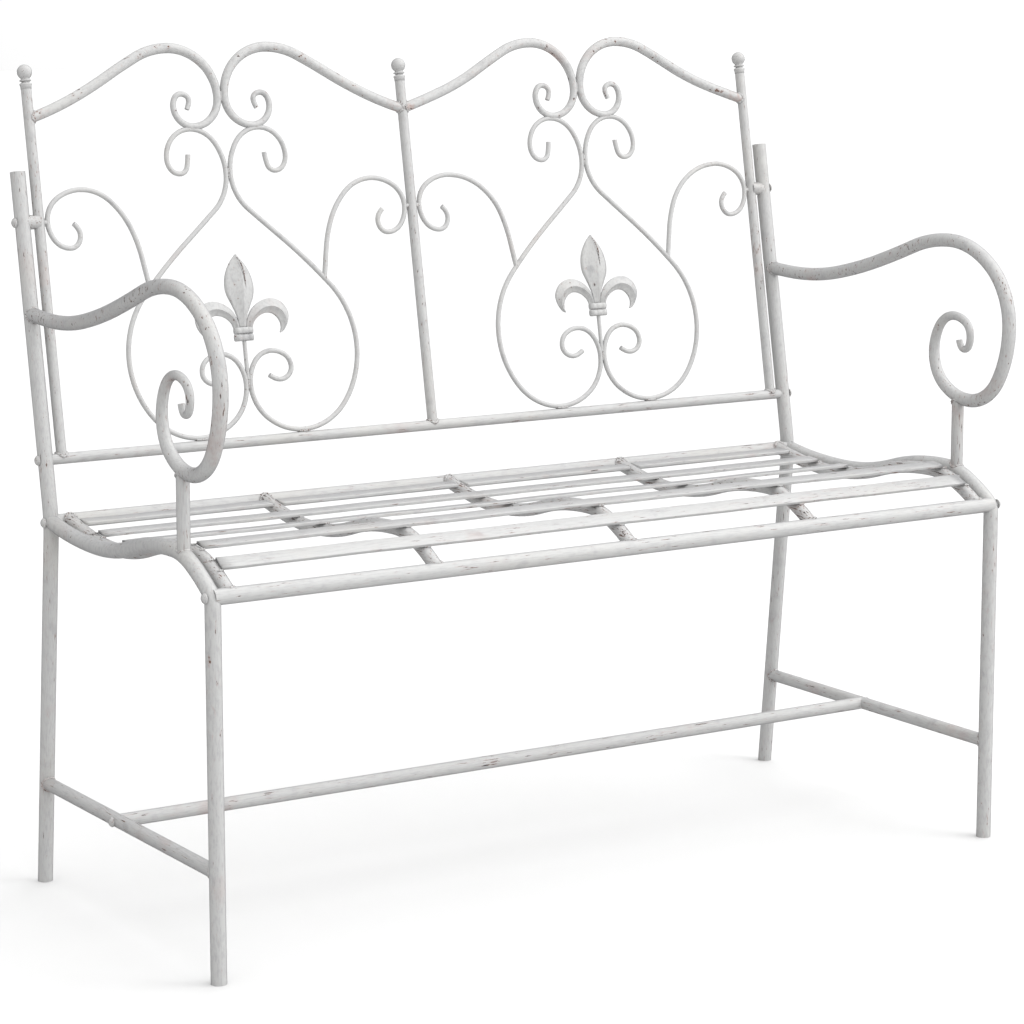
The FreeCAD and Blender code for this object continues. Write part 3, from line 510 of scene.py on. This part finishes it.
def slat_section(wave):
    """Outline of a rolled flat bar, its corners rounded, as (across, up) pairs."""
    outline = []
    for centre_across, centre_up, start in ((1, 1, 0), (-1, 1, 90), (-1, -1, 180), (1, -1, 270)):
        for step in range(4):
            turn = math.radians(start + step * 30)
            across = centre_across * (SLAT_WIDTH / 2 - CORNER_R) + CORNER_R * math.cos(turn)
            rise = centre_up * (SLAT_THICK / 2 - CORNER_R) + CORNER_R * math.sin(turn)
            outline.append((across, rise + wave))
    return outline


def roll_slat(mesh, left, right, centre, slope):
    """Flat bar from left to right through centre (depth, height), tipped by slope."""
    across_way = Vector((0.0, math.cos(slope), math.sin(slope)))
    up_way = Vector((0.0, -math.sin(slope), math.cos(slope)))
    stations = 60
    phase = dice.uniform(0.0, math.tau)
    rings = []
    for i in range(stations + 1):
        x = left + (right - left) * i / stations
        wave = 0.00025 * math.sin(phase + x * 21.0) + 0.00012 * math.sin(phase + x * 57.0)
        if i in (0, stations):
            wave = 0.0
        ring = [mesh.verts.new(Vector((x, 0.0, 0.0)) + centre + across_way * a + up_way * b)
                for a, b in slat_section(wave)]
        rings.append(ring)
    skin(mesh, rings)
    mesh.faces.new(rings[0])
    mesh.faces.new(tuple(reversed(rings[-1])))


slat_paint = painted("slat_paint", ACROSS, chips=0.6, bloom=0.6, soot=0.35)
bearer_spots = list(BEARERS.values())
for number in range(1, 6):
    label = f"seat_slat_{number}"
    low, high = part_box(label)
    points = [vertex.co for vertex in nodes[label].data.vertices]
    centre = Vector((0.0, (low[1] + high[1]) / 2, (low[2] + high[2]) / 2))
    corner = min(points, key=lambda p: p.y)
    slope = next(math.atan2(p.z - corner.z, p.y - corner.y) for p in points
                 if abs(math.hypot(p.y - corner.y, p.z - corner.z) - SLAT_WIDTH) < 0.0001)
    mesh = bmesh.new()
    if number == 1:
        for first, second in zip(bearer_spots, bearer_spots[1:]):
            roll_slat(mesh, first + SLAT_GAP, second - SLAT_GAP, centre, slope)
    else:
        roll_slat(mesh, low[0], high[0], centre, slope)
    slat = finished_piece(f"slat_{number}", mesh, slat_paint)
    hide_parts(label)
    welds = bmesh.new()
    length = 0.008 if number > 1 else 0.016
    way = Vector((0.0, math.cos(slope), math.sin(slope)))
    up_way = Vector((0.0, -math.sin(slope), math.cos(slope)))
    for x in bearer_spots:
        for edge in (-1, 1):
            toe = centre + Vector((x, 0.0, 0.0)) + way * edge * SLAT_WIDTH / 2 - up_way * 0.0016
            short_bead(welds, toe, ACROSS_AXIS, way * edge, length, SLAT_BEAD)
    finished_piece(f"slat_{number}_welds", welds, weld_paint)

# ---------------------------------------------------------------- backrest rail, stiles, finials
# A tube across the bottom of the backrest carries three stiles, each with a turned ball on
# top.  The stiles are welded to the rail with a rounded bead.
STILES = {"left": -0.521, "middle": -0.012, "right": 0.521}
RAIL_HEIGHT = 0.5185
STILE_R = 0.00625
STILE_FIT_R = 0.0066
STILE_BEAD = 0.0019
STILE_LENGTH = 0.441


def on_back(x, rise, proud=0.0):
    """Point of the backrest, rise up it from the bottom rail and proud of its face."""
    face = Vector((0.0, -math.cos(LEAN), math.sin(LEAN)))
    return at(x, upright_depth(RAIL_HEIGHT), RAIL_HEIGHT) + BACK_AXIS * rise + face * proud


finish_node("back_bottom_rail", painted("bottom_rail_paint", ACROSS, chips=0.7, bloom=0.4))
stile_paint = painted("stile_paint", UP, chips=0.75, bloom=0.35)
welds = bmesh.new()
for place, x in STILES.items():
    finish_node(f"{place}_stile", stile_paint)
    collar_bead(welds, on_back(x, 0.0), BACK_AXIS, ACROSS_AXIS, STILE_R, STILE_FIT_R,
                STILE_BEAD)
finished_piece("stile_welds", welds, weld_paint)

finial_paint = painted("finial_paint", ROUND, chips=0.7, bloom=0.4, soot=0.3)
PROFILE = (
    (0.0065, -0.004), (0.0067, -0.0005), (0.0072, 0.0006), (0.0074, 0.0016), (0.0070, 0.0027),
    (0.0050, 0.0034), (0.0044, 0.0042), (0.0050, 0.0049), (0.0066, 0.0053), (0.0071, 0.0061),
    (0.0066, 0.0069), (0.0050, 0.0075),
)
BALL_R = 0.0090
BALL_RISE = 0.0161
BALL_FACETS = 40
front = on_back(0.0, 0.0, 1.0) - on_back(0.0, 0.0)
mesh = bmesh.new()
for place, x in STILES.items():
    profile = list(PROFILE)
    for step in range(1, 17):
        turn = math.radians(-62 + step * 152 / 16)
        profile.append((BALL_R * math.cos(turn), BALL_RISE + BALL_R * math.sin(turn)))
    rings = []
    for radius, rise in profile[:-1]:
        ring = []
        for j in range(BALL_FACETS):
            turn = j * math.tau / BALL_FACETS
            spoke = ACROSS_AXIS * math.cos(turn) + front * math.sin(turn)
            ring.append(mesh.verts.new(on_back(x, STILE_LENGTH + rise) + spoke * radius))
        rings.append(ring)
    skin(mesh, rings)
    tip = mesh.verts.new(on_back(x, STILE_LENGTH + profile[-1][1]))
    for j in range(BALL_FACETS):
        mesh.faces.new((rings[-1][j], rings[-1][(j + 1) % BALL_FACETS], tip))
    mesh.faces.new(tuple(reversed(rings[0])))
finials = finished_piece("finials", mesh, finial_paint)
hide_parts("ball_finials")

# ---------------------------------------------------------------- backrest scrolls
# Round bars bent cold: heavy top scrolls drawn down to a curl, a thin heart in each bay and
# a side scroll tied to each stile.  They touch at short welds, browned by the heat.


def browned(name, grain, weld_x, chips=0.8):
    """Paint with a pinkish brown bloom where the bar is welded, at weld_x."""
    paint = painted(name, grain, chips, 0.5, 0.35)
    tree = paint.node_tree
    wear = next(item for item in tree.nodes if item.type == "GROUP")
    spot = add(tree, "ShaderNodeTexCoord").outputs["Object"]
    across = add(tree, "ShaderNodeSeparateXYZ", Vector=spot).outputs["X"]
    away = maths(tree, "ABSOLUTE", maths(tree, "SUBTRACT", across, weld_x))
    heat = between(tree, away, 0.034, 0.010)
    cloud = between(tree, speckle(tree, spot, 120.0, 4.0), 0.42, 0.66)
    tree.links.new(maths(tree, "MULTIPLY", maths(tree, "MULTIPLY", heat, cloud), 0.75),
                   wear.inputs["Extra Bloom"])
    return paint


BAYS = {"left": (-0.2665, 0.2545), "right": (0.2545, 0.2665)}
fine_paint = painted("heart_paint", ROUND, chips=0.5, bloom=0.3, soot=0.4)
TOP_ROOT_RISE = 0.402
TOP_ROOT_R = 0.0060
TOP_ROOT_BEAD = 0.0017
TIE_RISE = 0.279
TIE_REACH = 0.0072
TOUCH_PROUD = 0.0022
MIDDLE_PROUD = 0.0016
TOUCH_BEAD = 0.0013
# Where scrolls touch, in each half of a bay as rise, offset from its middle and length of
# weld, and on its middle as rise and length.
TOUCHES = ((0.385, 0.0435, 0.010), (0.0074, 0.070, 0.018))
MIDDLE_TOUCHES = ((0.329, 0.016), (0.070, 0.012), (0.423, 0.014))
welds = bmesh.new()
heading = math.radians(17)
for bay, (centre, reach) in BAYS.items():
    for hand in ("outer", "inner"):
        sign = 1 if (bay == "right") == (hand == "outer") else -1
        stile_x = centre + sign * reach
        finish_node(f"{bay}_{hand}_top_scroll",
                    browned(f"{bay}_{hand}_top_paint", (0.25, 0.6, 0.3), stile_x))
        finish_node(f"{bay}_{hand}_heart_scroll", fine_paint)
        finish_node(f"{bay}_{hand}_side_scroll", fine_paint)
        away = -ACROSS_AXIS * sign * math.cos(heading) + BACK_AXIS * math.sin(heading)
        collar_bead(welds, on_back(stile_x, TOP_ROOT_RISE), away, BACK_AXIS,
                    TOP_ROOT_R, STILE_R, TOP_ROOT_BEAD)
        for rise, offset, length in TOUCHES:
            for face in (-1, 1):
                spot = on_back(centre + sign * offset, rise, face * TOUCH_PROUD)
                short_bead(welds, spot, ACROSS_AXIS, front * face, length, TOUCH_BEAD)
        scroll_points = [v.co for v in nodes[f"{bay}_{hand}_side_scroll"].data.vertices]
        lowest = min(scroll_points, key=lambda p: p.z)
        end_points = [p for p in scroll_points if (p - lowest).length < 0.008]
        foot = sum(end_points, Vector()) / len(end_points)
        for face in (-1, 1):
            short_bead(welds, foot + front * face * TOUCH_PROUD - BACK_AXIS * 0.002,
                       BACK_AXIS - ACROSS_AXIS * sign * 0.5, front * face, 0.012, 0.0011)
        tie = on_back(stile_x - sign * TIE_REACH, TIE_RISE)
        short_bead(welds, tie, BACK_AXIS, -ACROSS_AXIS * sign, 0.010, 0.0014)
    for rise, length in MIDDLE_TOUCHES:
        for face in (-1, 1):
            spot = on_back(centre, rise, face * MIDDLE_PROUD)
            short_bead(welds, spot, BACK_AXIS, front * face, length, TOUCH_BEAD)
finished_piece("scroll_welds", welds, weld_paint)
finish_node("scroll_ties", weld_paint)

# ---------------------------------------------------------------- stems and fleurs-de-lis
# Cast ornaments: a ridged centre leaf between two curling side leaves, held by a double
# beaded collar on top of a thin stem that rises from the heart's lower curls.
fleur_paint = painted("fleur_paint", (0.5, 0.5, 0.3), chips=0.55, bloom=0.45, soot=0.6)
FLEUR_TOP = 0.140
BACK_SHARE = 0.35      # height of a leaf's ridge behind, as a share of its height in front


def curve_through(points, steps):
    """Points of a smooth curve through the given tuples of numbers."""
    ends = [points[0]] + list(points) + [points[-1]]
    smooth = []
    for p0, p1, p2, p3 in zip(ends, ends[1:], ends[2:], ends[3:]):
        for step in range(steps):
            t = step / steps
            smooth.append(tuple(
                0.5 * (2 * b + (c - a) * t + (2 * a - 5 * b + 4 * c - d) * t * t
                       + (3 * b - a - 3 * c + d) * t ** 3)
                for a, b, c, d in zip(p0, p1, p2, p3)))
    smooth.append(points[-1])
    return smooth


def ridged_plate(mesh, centre, sign, stations, back_depth):
    """Closed plate from stations (left edge x, rise, ridge x, rise, right edge x, rise, height)."""
    columns = 5
    sheets = []
    for face, depth in ((1, 1.0), (-1, back_depth)):
        rows = []
        for x0, v0, xr, vr, x1, v1, tall in stations:
            row = []
            for half, (xa, va, xb, vb) in enumerate(((x0, v0, xr, vr), (xr, vr, x1, v1))):
                for step in range(columns + half):
                    t = step / columns
                    bow = t ** 1.5 if half == 0 else (1 - t) ** 1.5
                    point = on_back(centre + sign * (xa + (xb - xa) * t), va + (vb - va) * t,
                                    face * (0.0010 + tall * depth * bow))
                    row.append(mesh.verts.new(point))
            rows.append(row)
        sheets.append(rows)
        for first, second in zip(rows, rows[1:]):
            for a, b, c, d in zip(first, first[1:], second[1:], second):
                mesh.faces.new((a, b, c, d))
        for first, second in zip(rows, rows[1:]):
            ridge = mesh.edges.get((first[columns], second[columns]))
            if ridge is not None and face == 1:
                ridge.smooth = False
    near, far = sheets
    for column in (0, -1):
        for i in range(len(near) - 1):
            mesh.faces.new((near[i][column], near[i + 1][column],
                            far[i + 1][column], far[i][column]))
    for row in (0, -1):
        for j in range(len(near[row]) - 1):
            mesh.faces.new((near[row][j], near[row][j + 1], far[row][j + 1], far[row][j]))


def raised(outline):
    """Smooth stations of a leaf, lifted onto the collar."""
    return [(x0, v0 + FLEUR_TOP, xr, vr + FLEUR_TOP, x1, v1 + FLEUR_TOP, tall)
            for x0, v0, xr, vr, x1, v1, tall in curve_through(outline, 6)]


# Stations along each leaf: one edge, the ridge and the other edge, each as x and rise, and
# then the height of the ridge.
LEAF = (
    (-0.0045, 0.000, 0.0006, 0.000, 0.0045, 0.000, 0.0020),
    (-0.0070, 0.014, 0.0010, 0.014, 0.0070, 0.014, 0.0032),
    (-0.0120, 0.027, 0.0016, 0.027, 0.0125, 0.026, 0.0045),
    (-0.0182, 0.041, 0.0022, 0.041, 0.0178, 0.038, 0.0055),
    (-0.0196, 0.053, 0.0026, 0.053, 0.0190, 0.050, 0.0055),
    (-0.0172, 0.066, 0.0022, 0.065, 0.0160, 0.064, 0.0045),
    (-0.0105, 0.079, 0.0000, 0.078, 0.0092, 0.077, 0.0030),
    (-0.0036, 0.087, -0.0018, 0.087, 0.0018, 0.086, 0.0014),
    (-0.0016, 0.089, -0.0010, 0.0893, -0.0002, 0.089, 0.0005),
)
HOOK = (
    (0.0045, -0.002, 0.0085, -0.002, 0.0125, -0.002, 0.0028),
    (0.0070, 0.010, 0.0115, 0.008, 0.0160, 0.006, 0.0036),
    (0.0150, 0.0225, 0.0195, 0.017, 0.0235, 0.0125, 0.0044),
    (0.0285, 0.0310, 0.0305, 0.0225, 0.0325, 0.0155, 0.0048),
    (0.0430, 0.0330, 0.0420, 0.0230, 0.0410, 0.0145, 0.0048),
    (0.0565, 0.0265, 0.0520, 0.0180, 0.0478, 0.0095, 0.0046),
    (0.0635, 0.0140, 0.0575, 0.0085, 0.0515, 0.0030, 0.0040),
    (0.0615, 0.0020, 0.0570, 0.0000, 0.0522, -0.0020, 0.0030),
    (0.0555, -0.0070, 0.0540, -0.0066, 0.0515, -0.0062, 0.0014),
    (0.0508, -0.0098, 0.0506, -0.0095, 0.0502, -0.0090, 0.0004),
)
CREASE = curve_through((
    (-0.0012, 0.0860, 0.0030), (0.0020, 0.0800, 0.0048), (0.0052, 0.0700, 0.0054),
    (0.0066, 0.0590, 0.0050), (0.0070, 0.0480, 0.0046),
), 4)
# Painted shade: the bead along the centre leaf's crease is painted dark with heavy chips, rust and
# soot, standing in for the shade in the groove.
crease_shade_paint = painted("crease_shade_paint", ROUND, chips=3.4, bloom=1.5, soot=0.8)
for bay, (centre, reach) in BAYS.items():
    mesh = bmesh.new()
    ridged_plate(mesh, centre, 1, raised(LEAF), BACK_SHARE)
    crease = [on_back(centre + x, FLEUR_TOP + rise, proud) for x, rise, proud in CREASE]
    lay_bead(mesh, crease, [front] * len(crease), 0.0008, closed=False)
    piece = finished_piece(f"{bay}_centre_leaf", mesh, fleur_paint)
    # The crease bead's faces take the dark paint of the painted shade.
    piece.data.materials.append(crease_shade_paint)
    for polygon in list(piece.data.polygons)[-10 * (len(CREASE) - 1) - 2:]:
        polygon.material_index = 1
    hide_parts(f"{bay}_fleur_centre_leaf")
    mesh = bmesh.new()
    for sign in (-1, 1):
        ridged_plate(mesh, centre, sign, raised(HOOK), BACK_SHARE)
    piece = finished_piece(f"{bay}_side_leaves", mesh, fleur_paint)
    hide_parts(f"{bay}_fleur_side_leaves")
    finish_node(f"{bay}_stem", fine_paint)

mesh = bmesh.new()
COLLAR_FOOT = 0.123
BAND_TALL = 0.0083
BAND_GROOVE = 0.0004
BAND_FACETS = 72
for bay, (centre, reach) in BAYS.items():
    for band in (0, 1):
        foot = COLLAR_FOOT + band * (BAND_TALL + BAND_GROOVE)
        rings = []
        for i in range(11):
            t = -1.0 + 2.0 * i / 10
            bulge = 0.62 + 0.38 * math.sqrt(max(0.0, 1.0 - t * t))
            rise = foot + BAND_TALL * (t + 1.0) / 2
            ring = []
            for j in range(BAND_FACETS):
                turn = j * math.tau / BAND_FACETS
                across = math.copysign(abs(math.cos(turn)) ** 0.6, math.cos(turn))
                lobe = 0.74 + 0.26 * abs(math.cos(across * math.pi * 1.5))
                deep = math.copysign(abs(math.sin(turn)) ** 0.6, math.sin(turn))
                spread = 0.0110 + 0.0020 * bulge
                ring.append(mesh.verts.new(on_back(centre + across * spread, rise,
                                                   deep * 0.0062 * bulge * lobe)))
            rings.append(ring)
        skin(mesh, rings)
        mesh.faces.new(tuple(reversed(rings[0])))
        mesh.faces.new(rings[-1])
collars = finished_piece("fleur_collar_beads", mesh, fleur_paint)
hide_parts("fleur_collars")

# ---------------------------------------------------------------- bolts and spacers
# Domed bolts, painted with the frame, go through the tubes into the rails; a spacer keeps
# each outer stile off its upright.
bolt_paint = painted("bolt_paint", ROUND, chips=1.2, bloom=0.8, soot=0.6)
for label in ("upper_back_bolts", "lower_back_bolts", "rear_seat_bolts", "front_seat_bolts",
              "stretcher_bolts", "back_spacers"):
    finish_node(label, bolt_paint)
